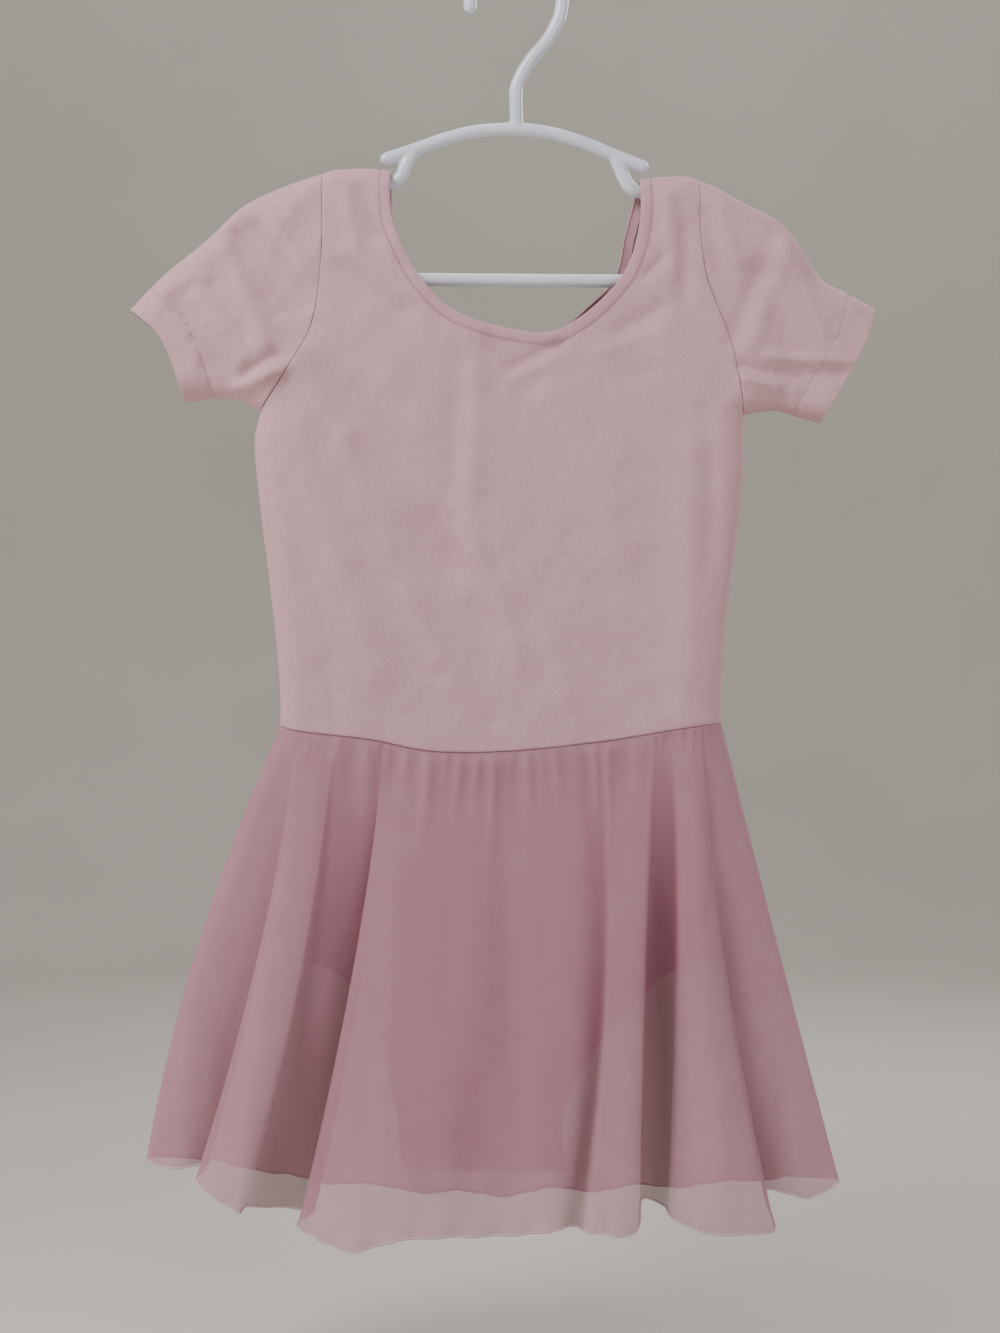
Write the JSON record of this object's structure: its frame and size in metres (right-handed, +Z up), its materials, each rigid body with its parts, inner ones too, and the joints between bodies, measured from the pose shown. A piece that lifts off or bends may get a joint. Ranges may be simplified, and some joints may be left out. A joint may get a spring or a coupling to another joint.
{
  "type": "ballet dress on a clothes hanger",
  "caption": "Child's short-sleeved ballet dress with a jersey bodice, scoop neck and sheer flared skirt over a brief, hung flat on a notched tubular plastic hanger",
  "frame": {"origin": "inside top of the hanger's hook, where a rail or peg holds it", "axes": "+Z up, the garment's front faces -Y, +X is to the right of someone who looks at the front"},
  "size_m": [0.4128, 0.0992, 0.7079],
  "materials": {
    "jersey": "matte pale pink cotton jersey with a fine knit",
    "binding": "matte pale pink jersey binding, cover stitched",
    "chiffon": "semi-sheer dusty pink chiffon with a rolled hem",
    "brief_jersey": "matte pale pink cotton jersey",
    "hanger_plastic": "smooth bluish-white moulded plastic"
  },
  "bodies": {
    "root": {"bodice_front": "jersey", "bodice_back": "jersey", "sleeve_left": "jersey", "sleeve_right": "jersey", "neck_binding": "binding", "skirt_front": "chiffon", "skirt_back": "chiffon", "brief_front": "brief_jersey", "brief_back": "brief_jersey", "hanger": "hanger_plastic"}
  },
  "joints": []
}
